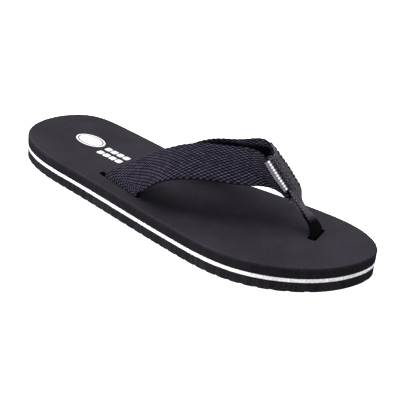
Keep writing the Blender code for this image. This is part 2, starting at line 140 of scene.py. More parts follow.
# ---- stitches ----
STITCH_LINES = {"lateral_outer": 0.1, "lateral_inner": 0.28, "medial_inner": 0.72, "medial_outer": 0.9}
STITCH_PITCH = 3.0         # mm
STITCH_RADIUS = 0.28       # mm
STITCH_SPAN = (0.06, 0.94)  # shares of the pitch where a stitch comes up and goes down
STITCH_SEAT = 0.7          # radii from the tape's face to the middle of a stitch
STITCH_DIVE = 0.75         # mm that its ends go down
DIVE_POWER = 6             # and how suddenly
STITCH_STEPS = 9
STITCH_SIDES = 8
SEAM_SPAN = (0.03, 0.43)   # shares of the tape's length
SEAM_SAMPLES = 400

# ---- sole ----
ANCHOR_CENTRE = np.array([15.8 - V_MIDDLE, U_MIDDLE - 241.8])
ANCHOR_POCKET = 13.0       # mm, the pocket's edge isn't part of the sole's outline
OUTSOLE_TOP = 6.3
MIDSOLE_LEVELS = (6.6, 9.4)  # mm, its bottom and top
SEAM_SMEAR = 0.35          # mm of a pale layer's side that the darker layers have rubbed onto
GROOVE_PITCH = 8.0         # mm along the sole, as in the CAD
GROOVE_WIDTH = 2.2
GROOVE_DEPTH = 0.9
GROOVE_REACH = 124.0       # the last grooves, from the middle of the sole
GROOVE_SLOPE = 0.4         # mm, how far each side wall of a groove leans
GROOVE_RIM = 0.45          # share of its depth that a groove has at the sole's rim
RIM_COLUMNS = 4            # columns of the mesh over which it gets its whole depth
TIP_ROWS = 150
TIP_MARGIN = 0.02          # radians, how far short of the tips the outer rows are
SOLE_COLUMNS = 60
ROW_APART = 0.1            # mm, rows closer than this are one row
LEVEL_MARGIN = 0.01        # mm
SPLIT_MARGIN = 1e-3        # mm
RIB_PITCH = 1.2            # mm round the cut side from one random depth to the next
RIB_DEPTH = 0.2            # mm
RIB_SEED = 7
SIDE_LEVELS = (0.15, 0.5, 1.5, 3.0, 4.5, 5.9, 6.3)   # mm up the cut side
SIDE_SHARES = (0.6, 1.0, 1.0, 1.0, 0.8, 0.3, 0.0)    # share of the ribs' depth at each level

# ---- print on the heel: u, v and half sizes in millimetres ----
INK_TOP = 0.06             # above the footbed
INK_SINK = 0.02
INK_SHOULDER = 0.03        # height of the softened rim
INK_SOFT = 0.12            # and its width
PRINT_DISC = (50, -2.6)    # the middle of the ring and the disc
ELLIPSE_STEPS = 72
RING_OUTSIDE = (13, 8)
RING_INSIDE = (11.7, 6.9)
DISC_SIZE = (10.6, 5.9)
PRINT_BLOCKS = 4
PRINT_BLOCK_PITCH = 6.1
PRINT_BLOCK_SHARE = 0.4    # half a block's length, as a share of the pitch
PRINT_BLOCK_CORNER = 0.9
CORNER_STEPS = 5
PRINT_ROWS = [(66.6, -3.2, 2.3), (66.6, -10.9, 2.3)]

# ---- label, in the object's own frame and millimetres, as in the CAD ----
LABEL_HINGE = np.array([10.065, -71.283, 49.328])
LABEL_AXIS = np.array([-0.17573, 0.66886, 0.72232])
LABEL_BACK = np.array([-0.98434, -0.12966, -0.11941])
LABEL_NORMAL = np.array([0.01379, -0.732, 0.68117])
LABEL_LENGTH = 22.0
LABEL_WIDTH = 4.9
LABEL_THICKNESS = 0.7
PLY = 0.3                  # mm, one thickness of the folded satin
PLY_MARGIN = 0.01          # mm
LABEL_CURL = 1.0           # mm, how far the lower free corner has curled up
LABEL_SAG = 0.18           # mm, how far the middle of the free edge lies lower
LABEL_BEND = 1.5           # the power of the curve from the seam to the free edge
LABEL_TUCK = 0.8           # mm of the label that is caught under the tape's edge
TUCK_SLOPE = 0.8           # and how steeply it goes down there
LABEL_ROWS = 132
LABEL_COLUMNS = 20
FOLD_OUTSIDE = 9           # points round the fold's outer and inner face
FOLD_INSIDE = 7
LABEL_RIB = 0.9            # mm from rib to rib
LABEL_RIB_HEIGHT = 0.035   # mm
LABEL_BACK_FACE = -5.0     # the woven coordinate of the face that has no lozenges
LOZENGE_PITCH = 2.0        # mm
LOZENGE_HALF = (1.0, 1.45)  # mm along and across
LOZENGE_CENTRE = 1.6       # mm from the seam

# ---- colours, as linear red, green and blue ----
# Near black for the tape's foot, where it goes into the sole under the join: soiling and painted shade.
SOILED_AND_SHADED = (0.0006, 0.0005, 0.0009)
# The dark colours of the webbing and the tape are their weft, darkened further as painted shade in the
# gaps of the weave.
WEBBING_WEFT_AND_SHADE = (0.0022, 0.0017, 0.0042)
WEBBING_LIGHT = (0.07, 0.0615, 0.0965)
TAPE_WEFT_AND_SHADE = (0.025, 0.0225, 0.029)
TAPE_LIGHT = (0.2, 0.183, 0.222)
FOOTBED_SKIN = (0.0238, 0.0209, 0.0285)
# The footbed's sides are coloured about a third as light as its top: painted shade on the sides.
FOOTBED_SHADED_SIDE = (0.0084, 0.0073, 0.0102)
# Near black for the midsole's top, seen at the bottom of the slots: cement and painted shade. It also
# draws the thin dark lines at the edges of the white side.
MIDSOLE_CEMENT_AND_SHADE = (0.012, 0.011, 0.014)
MIDSOLE_WHITE = (0.8, 0.785, 0.83)
OUTSOLE_SKIN = (0.0105, 0.0093, 0.0122)
OUTSOLE_CUT = (0.0115, 0.0101, 0.0133)
ANCHOR_GREY = (0.02, 0.02, 0.02)
INK_WHITE = (0.86, 0.86, 0.88)
INK_WORN = (0.6, 0.6, 0.63)
THREAD_LIGHT = (0.03, 0.028, 0.034)
THREAD_DARK = (0.006, 0.006, 0.008)
LABEL_GROUND = (0.125, 0.113, 0.145)
LABEL_WHITE = (0.85, 0.84, 0.88)
FLOOR_GREY = (0.92, 0.92, 0.92)

# ---- looks ----
# A range is where a ramp starts and ends, and a shade adds the two values it runs between. A noise is
# a scale, in turns to a metre or to a unit of the weave's coordinates, and a detail. A bump is a height
# in metres and a strength.
SHEEN_ROUGHNESS = 0.4
CLOTH_ROUGHNESS = 0.9
CLOTH_SPECULAR = 0.05
WEBBING_SHEEN = 0.02
TAPE_HEATHER = 0.45        # how much the tape's crests differ
SOIL_AND_SHADE_SPAN = (0.56, 0.67)   # shares of the tape's length over which it turns black: soiling and painted shade at the post's foot
CREST_RANGE = (0.3, 0.95)  # height of a crest, from the gap to its top; the colour it sets paints shade in the gaps
ROUND_RANGE = (0.1, 0.85)  # roundness of a yarn, from its edge to its middle; the colour it sets paints shade at the yarn's sides
SELVEDGE_PAINTED_SHADE = (0.3, 1.0, 0.6, 1.0)     # by yarns from the edge: painted shade darkens the band's rounded edges
FIBRE_NOISE = (9.0, 3.0)
FIBRE_STRETCH = (0.6, 6.0, 1.0)
FIBRE_SHADE = (0.25, 0.75, 0.65, 1.15)
FIBRE_BUMP = (0.00012, 0.8)
FOAM_ROUGHNESS = 0.88
FOAM_SPECULAR = 0.07
FOAM_NOISE_ROUGHNESS = 0.6
GRAIN_NOISE = (2600.0, 2.0)
GRAIN_SHARE = 0.4          # of the pebbles' height
PEBBLE_NOISE = (900.0, 3.0)
PEBBLE_SHADE = (0.35, 0.7, 0.76, 1.24)
PEBBLE_BUMP = (0.0002, 0.4)
GLOSS_RANGE = (0.3, 0.7)   # of the pebbles, over which the foam's roughness rises
GLOSS_STEPS = (-0.06, 0.08)  # from this much under its middle value to this much over it
BLOTCH_NOISE = (24.0, 4.0)
BLOTCH_SHADE = (0.3, 0.7, 0.82, 1.18)
STREAK_NOISE = (420.0, 3.0)
STREAK_STRETCH = (1.0, 1.0, 0.1)
STREAK_RANGE = (0.35, 0.65)
STREAK_HEIGHT = 0.0003     # metres, the strength of this bump is the foam's own
CUT_RANGE = (0.2, 0.75)    # how far a face turns from upright to flat
FOOTBED_STREAKS = 0.15
MIDSOLE_STREAKS = 0.03
MIDSOLE_ROUGHNESS = 0.75
ANCHOR_STREAKS = 0.1
OUTSOLE_STREAKS = 0.3
INK_ROUGHNESS = 0.55
INK_SPECULAR = 0.3
INK_NOISE = (420.0, 3.0)
WEAR_RANGE = (0.62, 0.8)
INK_BUMP = (0.00005, 0.4)
THREAD_ROUGHNESS = 0.5
THREAD_SPECULAR = 0.4
THREAD_TURNS = 5.0         # turns of a thread's twist along half a stitch
STRAND_RANGE = (0.1, 0.5)
THREAD_BUMP = (0.0001, 0.6)
SATIN_ROUGHNESS = 0.5
SATIN_SPECULAR = 0.4
SATIN_SHEEN = 0.1
RIB_SHADE = (-1, 1, 0.8, 1.05)
RIB_SHARE = 0.5            # of the weft's height
WEFT_NOISE = (3.0, 2.0)
WEFT_STRETCH = (1.0, 3.0, 1.0)
WEFT_SHADE = (0.3, 0.7, 0.8, 1.15)
LOZENGE_EDGE = (0.85, 1.15)
SATIN_BUMP = (0.00006, 0.6)

# ---- stage, light and camera ----
FLOOR_SIZE = 40            # metres
FLOOR_DROP = 0.0002        # metres below the sole
FLOOR_GLOW = 0.9
WORLD_STRENGTH = 0.3
LIGHTS = [                 # name, place, target, diameter in metres, watts
    ("overhead", (0.17, 0.36, 1.24), (0, 0, 0), 1.8, 31.5),
    ("lateral_side", (-1.25, 0.3, 0.1), (0, 0, 0.02), 0.3, 30),
    ("toe_side", (0.68, -1.11, 0.12), (0, 0, 0.02), 0.3, 10),
]
CAMERA_TURN = (-50.7, 27.0, 6.12)    # degrees of azimuth, elevation and roll
CAMERA_AWAY = (674.0, 12.9, 3.64)    # mm back, right and up from the middle of the sole
CAMERA_MIDDLE = 140.0      # mm from the heel
SENSOR_WIDTH = 36.0        # mm
FOCAL_SHARE = 982.0 / 400  # focal length over sensor width
CLIP_NEAR = 0.01           # metres
CLIP_FAR = 60


def to_world(points):
    """Points in metres in the object's frame, from u, v, z in millimetres."""
    points = np.asarray(points, float)
    return np.stack(
        [points[..., 1] - V_MIDDLE, U_MIDDLE - points[..., 0], points[..., 2]], axis=-1
    ) * MM


def spline(points, where):
    """A natural cubic spline through the points, at shares of its length by chords."""
    points = np.asarray(points, float)
    spans = np.linalg.norm(np.diff(points, axis=0), axis=1)
    knots = np.concatenate([[0], np.cumsum(spans)])
    slopes = np.diff(points, axis=0) / spans[:, None]
    last = len(knots) - 1
    matrix = np.eye(last + 1)
    target = np.zeros_like(points)
    for i in range(1, last):
        matrix[i, i - 1 : i + 2] = spans[i - 1], 2 * (spans[i - 1] + spans[i]), spans[i]
        target[i] = 6 * (slopes[i] - slopes[i - 1])
    bends = np.linalg.solve(matrix, target)
    where = np.clip(where, 0, 1) * knots[-1]
    span = np.clip(np.searchsorted(knots, where, side="right") - 1, 0, last - 1)
    width = spans[span]
    after = ((where - knots[span]) / width)[..., None]
    before = 1 - after
    curve = (before**3 - before) * bends[span] + (after**3 - after) * bends[span + 1]
    return before * points[span] + after * points[span + 1] + curve * width[..., None] ** 2 / 6


class Band:
    """A band's outer face in millimetres: a place and a normal for any share of its length and width.

    flip swaps its edges. crown is how far its middle stands proud, and rise the height over which that
    grows from the sole. notch is the depth of the V in its start, as a share of its length.
    """

    def __init__(self, stations, flip, crown, rise=None, notch=0.0):
        self.both = [np.concatenate(pair[::-1] if flip else pair) for pair in stations]
        self.crown = crown
        self.rise = rise
        self.notch = notch

    def edges(self, along):
        """Points on its two edges."""
        both = spline(self.both, along)
        return both[..., :3], both[..., 3:]

    def level(self, along, across):
        """Point on the straight line between its edges."""
        first, second = self.edges(along)
        return first + (second - first) * across[..., None]

    def place(self, along, across):
        """Point and outward normal at shares of the length and width."""
        along, across = np.broadcast_arrays(np.asarray(along, float), np.asarray(across, float))
        if self.notch:
            bend = 1 - np.abs(2 * across - 1)
            along = along + self.notch * bend * np.clip(1 - along / NOTCH_FADE, 0, 1)
        first, second = self.edges(along)
        point = first + (second - first) * across[..., None]
        ahead = self.level(np.clip(along + SLOPE_STEP, 0, 1), across)
        behind = self.level(np.clip(along - SLOPE_STEP, 0, 1), across)
        normal = np.cross(ahead - behind, second - first)
        normal /= np.linalg.norm(normal, axis=-1)[..., None]
        lift = self.crown * 4 * across * (1 - across)
        if self.rise:
            lift = lift * np.clip((first[..., 2] - FOOTBED_TOP) / self.rise, 0, 1)
            lift = lift * np.clip((1 - along - CROWN_CLEAR) / CROWN_FADE, 0, 1)
        return point + normal * lift[..., None], normal

    def length(self):
        """Its length down the middle."""
        middle = self.level(np.linspace(0, 1, LENGTH_SAMPLES), np.full(LENGTH_SAMPLES, 0.5))
        return np.linalg.norm(np.diff(middle, axis=0), axis=1).sum()


def strap_band(slot, inward, stations, end):
    """A strap from its glued tab, up out of the slot and over to the join."""
    heel_end, toe_end = np.asarray(slot, float)
    along = (toe_end - heel_end) / np.linalg.norm(toe_end - heel_end)
    side = np.array([-along[1], along[0]])
    side = side if side[1] * inward > 0 else -side
    lower = [
        tuple((*(np.asarray(point) + side * reach), height) for point in slot)
        for reach, height in TAB_ROUTE
    ]
    return Band(lower + list(stations) + [end], inward > 0, STRAP_CROWN, rise=CROWN_RISE)


# ---------------------------------------------------------------- node helpers
class Nodes:
    """A material's node tree with short calls for the nodes that the looks share."""

    def __init__(self, name):
        self.material = bpy.data.materials.new(name)
        self.material.use_nodes = True
        self.tree = self.material.node_tree
        self.shader = self.tree.nodes["Principled BSDF"]

    def add(self, kind, **settings):
        node = self.tree.nodes.new(kind)
        for name, value in settings.items():
            setattr(node, name, value)
        return node

    def link(self, source, target):
        self.tree.links.new(source, target)

    def put(self, socket, value):
        """Links another socket to this one, or sets a plain value on it."""
        if isinstance(value, bpy.types.NodeSocket):
            self.link(value, socket)
        else:
            socket.default_value = value

    def math(self, operation, a, b=0.0):
        node = self.add("ShaderNodeMath", operation=operation)
        self.put(node.inputs[0], a)
        self.put(node.inputs[1], b)
        return node.outputs[0]

    def ramp(self, value, low, high, to_low=0.0, to_high=1.0, smooth=True):
        """Brings low to high onto to_low to to_high, and holds the ends beyond them."""
        node = self.add("ShaderNodeMapRange")
        node.interpolation_type = "SMOOTHSTEP" if smooth else "LINEAR"
        self.put(node.inputs["Value"], value)
        node.inputs["From Min"].default_value = low
        node.inputs["From Max"].default_value = high
        node.inputs["To Min"].default_value = to_low
        node.inputs["To Max"].default_value = to_high
        return node.outputs["Result"]

    def mix(self, factor, a, b):
        node = self.add("ShaderNodeMix", data_type="RGBA")
        self.put(node.inputs["Factor"], factor)
        self.put(node.inputs[6], (*a, 1) if isinstance(a, tuple) else a)
        self.put(node.inputs[7], (*b, 1) if isinstance(b, tuple) else b)
        return node.outputs[2]

    def noise(self, scale, detail, vector=None, stretch=None, roughness=0.5):
        """Noise by a vector, or by the place in the object's own frame."""
        node = self.add("ShaderNodeTexNoise")
        node.inputs["Scale"].default_value = scale
        node.inputs["Detail"].default_value = detail
        node.inputs["Roughness"].default_value = roughness
        if vector is None:
            vector = self.add("ShaderNodeTexCoord").outputs["Object"]
        if stretch:
            mapping = self.add("ShaderNodeMapping")
            self.link(vector, mapping.inputs["Vector"])
            mapping.inputs["Scale"].default_value = stretch
            vector = mapping.outputs["Vector"]
        self.link(vector, node.inputs["Vector"])
        return node.outputs["Fac"]

    def lattice(self):
        """The piece's weave coordinates: along in picks, across in yarns."""
        uv = self.add("ShaderNodeUVMap", uv_map="weave")
        split = self.add("ShaderNodeSeparateXYZ")
        self.link(uv.outputs["UV"], split.inputs[0])
        return uv.outputs["UV"], split.outputs["X"], split.outputs["Y"]

    def bump(self, height, distance, strength=1.0, below=None):
        node = self.add("ShaderNodeBump")
        node.inputs["Strength"].default_value = strength
        node.inputs["Distance"].default_value = distance
        self.link(height, node.inputs["Height"])
        if below is not None:
            self.link(below, node.inputs["Normal"])
        return node.outputs["Normal"]

    def finish(self, colour, roughness, normal, sheen=0.0, specular=0.5):
        """Fills in the shader and gives the material."""
        self.put(self.shader.inputs["Base Color"], colour)
        self.put(self.shader.inputs["Roughness"], roughness)
        self.link(normal, self.shader.inputs["Normal"])
        self.shader.inputs["Sheen Weight"].default_value = sheen
        self.shader.inputs["Sheen Roughness"].default_value = SHEEN_ROUGHNESS
        self.shader.inputs["Specular IOR Level"].default_value = specular
        return self.material


def cloth_look(name, ends, dark, light, soil_and_shade=None, sheen=0.0, heather=0.5):
    """Warp-faced webbing: pale crests of yarn over dark gaps, each crest a little different. The dark
    gaps are the weft, darkened further as painted shade.

    ends is the number of warp yarns, and soil_and_shade the stretch, in picks, over which the cloth
    turns black on its way into the sole, as soiling and painted shade. heather is how much the crests
    differ.
    """
    n = Nodes(name)
    uv, along, across = n.lattice()
    yarn = n.math("FLOOR", across)
    place = n.math("SUBTRACT", n.math("FRACT", across), 0.5)
    rounded = n.math("SUBTRACT", 1.0, n.math("MULTIPLY", n.math("MULTIPLY", place, place), 4.0))
    phase = n.math("SUBTRACT", n.math("ADD", along, yarn), n.math("MULTIPLY", place, TWIST))
    phase = n.math("MULTIPLY", phase, math.pi)
    crest = n.math("ADD", n.math("MULTIPLY", n.math("COSINE", phase), 0.5), 0.5)
    # painted shade: the colour darkens from each crest down into the gaps, and towards the sides of each
    # yarn
    crown = n.math("MULTIPLY", n.ramp(crest, *CREST_RANGE), n.ramp(rounded, *ROUND_RANGE))
    turn = n.math("ROUND", n.math("MULTIPLY", n.math("ADD", along, yarn), 0.5))
    cell = n.add("ShaderNodeCombineXYZ")
    n.link(turn, cell.inputs[0])
    n.link(yarn, cell.inputs[1])
    white = n.add("ShaderNodeTexWhiteNoise", noise_dimensions="2D")
    n.link(cell.outputs[0], white.inputs["Vector"])
    fibres = n.noise(*FIBRE_NOISE, uv, stretch=FIBRE_STRETCH)
    each = n.ramp(white.outputs["Value"], 0, 1, 1 - heather, 1.0, smooth=False)
    shade = n.math("MULTIPLY", crown, each)
    shade = n.math("MULTIPLY", shade, n.ramp(fibres, *FIBRE_SHADE))
    # painted shade: the cloth darkens over its last yarn towards each selvedge
    from_edge = n.math("MINIMUM", across, n.math("SUBTRACT", float(ends), across))
    shade = n.math("MULTIPLY", shade, n.ramp(from_edge, *SELVEDGE_PAINTED_SHADE))
    colour = n.mix(shade, dark, light)
    # soiling and painted shade: the tape turns near black towards its foot, which lies under the join
    if soil_and_shade:
        colour = n.mix(n.ramp(along, *soil_and_shade), colour, SOILED_AND_SHADED)
    normal = n.bump(fibres, *FIBRE_BUMP)
    return n.finish(colour, CLOTH_ROUGHNESS, normal, sheen=sheen, specular=CLOTH_SPECULAR)


def foam_look(name, top, side, streaks, roughness=FOAM_ROUGHNESS, seams=None):
    """Moulded foam: a pebbled skin with slight blotches, and cut sides with streaks down them.

    seams are the heights, in millimetres, between which a pale side stays clear of the darker foams.
    """
    n = Nodes(name)
    grain = n.noise(*GRAIN_NOISE)
    pebble = n.noise(*PEBBLE_NOISE, roughness=FOAM_NOISE_ROUGHNESS)
    blotch = n.noise(*BLOTCH_NOISE, roughness=FOAM_NOISE_ROUGHNESS)
    streak = n.noise(*STREAK_NOISE, stretch=STREAK_STRETCH)
    split = n.add("ShaderNodeSeparateXYZ")
    n.link(n.add("ShaderNodeNewGeometry").outputs["True Normal"], split.inputs[0])
    cut = n.ramp(n.math("ABSOLUTE", split.outputs["Z"]), *CUT_RANGE, 1.0, 0.0)
    skin = n.math("MULTIPLY", n.ramp(pebble, *PEBBLE_SHADE), n.ramp(blotch, *BLOTCH_SHADE))
    marks = n.math("MULTIPLY", n.ramp(streak, *STREAK_RANGE, 1 - streaks, 1 + streaks), skin)
    scaled = n.add("ShaderNodeVectorMath", operation="SCALE")
    if seams:
        place = n.add("ShaderNodeSeparateXYZ")
        n.link(n.add("ShaderNodeTexCoord").outputs["Object"], place.inputs[0])
        low, high = (height * MM for height in seams)
        from_middle = n.math("ABSOLUTE", n.math("SUBTRACT", place.outputs["Z"], (low + high) / 2))
        reach = (high - low) / 2
        side = n.mix(n.ramp(from_middle, reach - SEAM_SMEAR * MM, reach), side, top)
    # upright faces take the side colour; on the footbed this is much darker than the top and paints
    # shade on its sides
    n.link(n.mix(cut, top, side), scaled.inputs[0])
    uncut = n.math("SUBTRACT", 1.0, cut)
    lightness = n.math("ADD", n.math("MULTIPLY", marks, cut), n.math("MULTIPLY", skin, uncut))
    n.link(lightness, scaled.inputs["Scale"])
    height = n.math("ADD", n.math("MULTIPLY", grain, GRAIN_SHARE), pebble)
    normal = n.bump(height, *PEBBLE_BUMP)
    normal = n.bump(n.math("MULTIPLY", streak, cut), STREAK_HEIGHT, streaks, normal)
    rough = n.ramp(pebble, *GLOSS_RANGE, *(roughness + step for step in GLOSS_STEPS))
    return n.finish(scaled.outputs[0], rough, normal, specular=FOAM_SPECULAR)


def ink_look():
    """White ink, grey with wear in small spots."""
    n = Nodes("white_ink")
    wear = n.noise(*INK_NOISE)
    colour = n.mix(n.ramp(wear, *WEAR_RANGE), INK_WHITE, INK_WORN)
    return n.finish(colour, INK_ROUGHNESS, n.bump(wear, *INK_BUMP), specular=INK_SPECULAR)


def thread_look():
    """Dark twisted thread. Its coordinates run from -1 to 1 along a stitch, and once round it."""
    n = Nodes("seam_thread")
    _, along, across = n.lattice()
    twist = n.math("FRACT", n.math("ADD", n.math("MULTIPLY", along, THREAD_TURNS), across))
    strand = n.ramp(n.math("ABSOLUTE", n.math("SUBTRACT", twist, 0.5)), *STRAND_RANGE)
    colour = n.mix(strand, THREAD_LIGHT, THREAD_DARK)
    normal = n.bump(strand, *THREAD_BUMP)
    return n.finish(colour, THREAD_ROUGHNESS, normal, specular=THREAD_SPECULAR)


def label_look():
    """Satin label with one row of plain woven lozenges. Its coordinates are in millimetres."""
    n = Nodes("woven_label")
    uv, along, across = n.lattice()
    rib = n.math("SINE", n.math("MULTIPLY", along, 2 * math.pi / LABEL_RIB))
    weft = n.noise(*WEFT_NOISE, uv, stretch=WEFT_STRETCH)
    ribs = n.ramp(rib, *RIB_SHADE, smooth=False)
    shade = n.math("MULTIPLY", ribs, n.ramp(weft, *WEFT_SHADE))
    ground = n.add("ShaderNodeVectorMath", operation="SCALE")
    ground.inputs[0].default_value = LABEL_GROUND
    n.link(shade, ground.inputs["Scale"])
    turn = n.math("SUBTRACT", n.math("FRACT", n.math("DIVIDE", along, LOZENGE_PITCH)), 0.5)
    wide = n.math("DIVIDE", n.math("ABSOLUTE", turn), LOZENGE_HALF[0] / LOZENGE_PITCH)
    reach = n.math("ABSOLUTE", n.math("SUBTRACT", across, LOZENGE_CENTRE))
    mark = n.math("ADD", wide, n.math("DIVIDE", reach, LOZENGE_HALF[1]))
    colour = n.mix(n.ramp(mark, *LOZENGE_EDGE, 1.0, 0.0), ground.outputs[0], LABEL_WHITE)
    normal = n.bump(n.math("ADD", n.math("MULTIPLY", rib, RIB_SHARE), weft), *SATIN_BUMP)
    return n.finish(colour, SATIN_ROUGHNESS, normal, sheen=SATIN_SHEEN, specular=SATIN_SPECULAR)


# ---------------------------------------------------------------- mesh helpers
def mesh_object(name, points, faces, look, uv=None, smooth=True):
    """A new object in metres with one material, its faces turned outwards."""
    mesh = bpy.data.meshes.new(name)
    mesh.from_pydata(np.asarray(points, float).tolist(), [], [list(map(int, f)) for f in faces])
    if uv is not None:
        layer = mesh.uv_layers.new(name="weave")
        loops = np.empty(len(mesh.loops), int)
        mesh.loops.foreach_get("vertex_index", loops)
        layer.data.foreach_set("uv", np.asarray(uv, np.float32)[loops].ravel())
    mesh.materials.append(look)
    shape = bmesh.new()
    shape.from_mesh(mesh)
    bmesh.ops.recalc_face_normals(shape, faces=shape.faces)
    shape.to_mesh(mesh)
    shape.free()
    if smooth:
        mesh.shade_smooth()
    made = bpy.data.objects.new(name, mesh)
    bpy.context.scene.collection.objects.link(made)
    return made


def tube_faces(rows, around):
    """Quads round a stack of closed loops, and a cap at each end."""
    row = np.arange(rows - 1)[:, None] * around
    here = np.arange(around)[None, :]
    there = (here + 1) % around
    quads = np.stack([row + here, row + there, row + there + around, row + here + around], axis=-1)
    faces = quads.reshape(-1, 4).tolist()
    faces.append(list(range(around)))
    faces.append(list(range((rows - 1) * around, rows * around)))
    return faces


def weave_run(point):
    """How far along the cloth each grid point lies in millimetres, with the weft square to the warp."""
    down = np.gradient(point, axis=0)
    over = np.gradient(point, axis=1)
    speed = np.linalg.norm(down, axis=-1)
    skew = (down * over).sum(axis=-1) / speed
    window = np.ones(SKEW_ROWS) / SKEW_ROWS
    padded = np.pad(skew, ((SKEW_ROWS // 2, SKEW_ROWS // 2), (0, 0)), mode="edge")
    skew = np.stack([np.convolve(column, window, mode="valid") for column in padded.T], axis=1)
    middle = point.shape[1] // 2
    run = np.concatenate([[0], np.cumsum((speed[1:, middle] + speed[:-1, middle]) / 2)])
    drift = np.cumsum((skew[:, 1:] + skew[:, :-1]) / 2, axis=1)
    drift = np.concatenate([np.zeros((len(point), 1)), drift], axis=1)
    return run[:, None] + drift - drift[:, middle : middle + 1]


def woven_band(name, band, pitch, ends, samples, thickness, look, relief=1.0, top=None, inset=0.0,
               start=0.0, droop=None):
    """A band of webbing with its weave in the mesh: warp yarns that rise and dip over the weft.

    top and droop lower it from the band's face, in millimetres, at a share of the length and width.
    """
    per_pick, per_yarn = samples
    length = band.length()
    rows = round(length * (1 - start) / pitch) * per_pick + 1
    columns = ends * per_yarn + 1
    share = np.linspace(start, 1, rows)[:, None]
    radius = thickness / 2
    first, second = band.edges(share[:, 0])
    width = np.linalg.norm(second - first, axis=1)[:, None]
    edge = radius / width
    flat = np.linspace(0, 1, columns)[None, :]
    face = edge + (1 - 2 * edge) * flat
    angles = np.linspace(0, math.pi, EDGE_BEND + 2)[1:-1][None, :]
    right = 1 - edge + edge * np.sin(angles)
    left = edge - edge * np.sin(angles)
    across = np.concatenate([face, right, face[:, ::-1], left], axis=1)
    ones = np.ones((rows, 1))
    level = np.ones((rows, columns))
    depth = np.concatenate([
        0 * level, -radius * (1 - np.cos(angles)) * ones,
        -thickness * level, -radius * (1 + np.cos(angles)) * ones,
    ], axis=1)
    up, aside = np.cos(angles) * ones, np.sin(angles) * ones
    out_normal = np.concatenate([level, up, -level, -up], axis=1)
    out_side = np.concatenate([0 * level, aside, 0 * level, -aside], axis=1)
    point, normal = band.place(share * np.ones_like(across), inset + across * (1 - 2 * inset))
    side = (second - first)[:, None, :] / width[:, :, None]
    run = (start * length + weave_run(point[:, :columns])) / pitch
    bends = np.ones((1, EDGE_BEND))
    pick = np.concatenate([run, run[:, -1:] * bends, run[:, ::-1], run[:, :1] * bends], axis=1)
    yarn = across * ends
    from_end = np.minimum(share - start, 1 - share) * length / pitch
    lift = relief * weave_height(pick, yarn, ends) * np.clip(from_end, FLAT_EDGE, 1)
    if top is not None:
        depth = depth - top(share)
    if droop is not None:
        depth = depth - droop(share, across)
    made = point + normal * (depth + lift * out_normal)[..., None]
    made = made + side * (lift * out_side)[..., None]
    uv = np.stack([pick, yarn], axis=-1).reshape(-1, 2)
    faces = tube_faces(rows, across.shape[1])
    return mesh_object(name, to_world(made).reshape(-1, 3), faces, look, uv)


def weave_height(pick, yarn, ends):
    """Plain weave: each warp yarn rises over one weft yarn and dips under the next."""
    number = np.clip(np.floor(yarn), 0, ends - 1)
    place = yarn - number - 0.5
    across = np.sqrt(np.clip(1 - 4 * place**2, 0, 1))
    wave = np.cos(math.pi * (pick + number - TWIST * place))
    fade = np.clip(np.minimum(yarn, ends - yarn) / SELVEDGE_YARNS, FLAT_EDGE, 1)
    return (WAVE * (wave - 1) + YARN * (across - 1)) * fade


# ---------------------------------------------------------------- straps and tapes
webbing = cloth_look("heather_webbing", WARP_ENDS, WEBBING_WEFT_AND_SHADE, WEBBING_LIGHT, sheen=WEBBING_SHEEN)
straps = {
    "lateral": strap_band(LATERAL_SLOT, 1, LATERAL_STATIONS, LATERAL_END),
    "medial": strap_band(MEDIAL_SLOT, -1, MEDIAL_STATIONS, MEDIAL_END),
}
for side, band in straps.items():
    piece = woven_band(f"{side}_strap_weave", band, PICK_PITCH, WARP_ENDS, STRAP_SAMPLES,
                       WEBBING_THICKNESS, webbing)
    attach(piece, SOLE)
    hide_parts(f"{side}_webbing")

tape = Band(TAPE_STATIONS, False, TAPE_CROWN, notch=NOTCH_SHARE)
tape_picks = tape.length() / TAPE_PICK_PITCH
tape_cloth = cloth_look("ribbed_tape", TAPE_ENDS, TAPE_WEFT_AND_SHADE, TAPE_LIGHT,
                        soil_and_shade=[share * tape_picks for share in SOIL_AND_SHADE_SPAN], heather=TAPE_HEATHER)


def sewn_edges(share, across):
    """How far the tape's edges are drawn down onto the straps, over the length where it is sewn."""
    from_edge = np.minimum(across, 1 - across)
    sewn = np.clip((SEWN_END - share) / SEWN_FADE, 0, 1)
    return SEWN_DOWN * np.clip(1 - from_edge / SEWN_EDGE, 0, 1) * sewn


outer_tape = woven_band("toe_tape_outer_rib", tape, TAPE_PICK_PITCH, TAPE_ENDS, TAPE_SAMPLES,
                        TAPE_THICKNESS, tape_cloth, relief=TAPE_RELIEF, droop=sewn_edges)
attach(outer_tape, SOLE)
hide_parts("toe_tape_outer")


def inner_top(share):
    """How far the inner tape's face lies under the outer tape's: below the straps, then close behind."""
    ease = np.clip((share - JOIN_END) / (POST_START - JOIN_END), 0, 1)
    ease = ease * ease * (3 - 2 * ease)
    return UNDER_STRAPS + (TAPE_THICKNESS + POST_GAP - UNDER_STRAPS) * ease


flat_tape = Band(TAPE_STATIONS, False, 0.0)
inner_tape = woven_band("toe_tape_inner_rib", flat_tape, TAPE_PICK_PITCH, TAPE_ENDS, TAPE_SAMPLES,
                        TAPE_THICKNESS, tape_cloth, relief=TAPE_RELIEF, top=inner_top,
                        inset=INNER_INSET, start=INNER_START)
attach(inner_tape, SOLE)
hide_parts("toe_tape_inner")

# ---------------------------------------------------------------- stitches
seam_thread = thread_look()


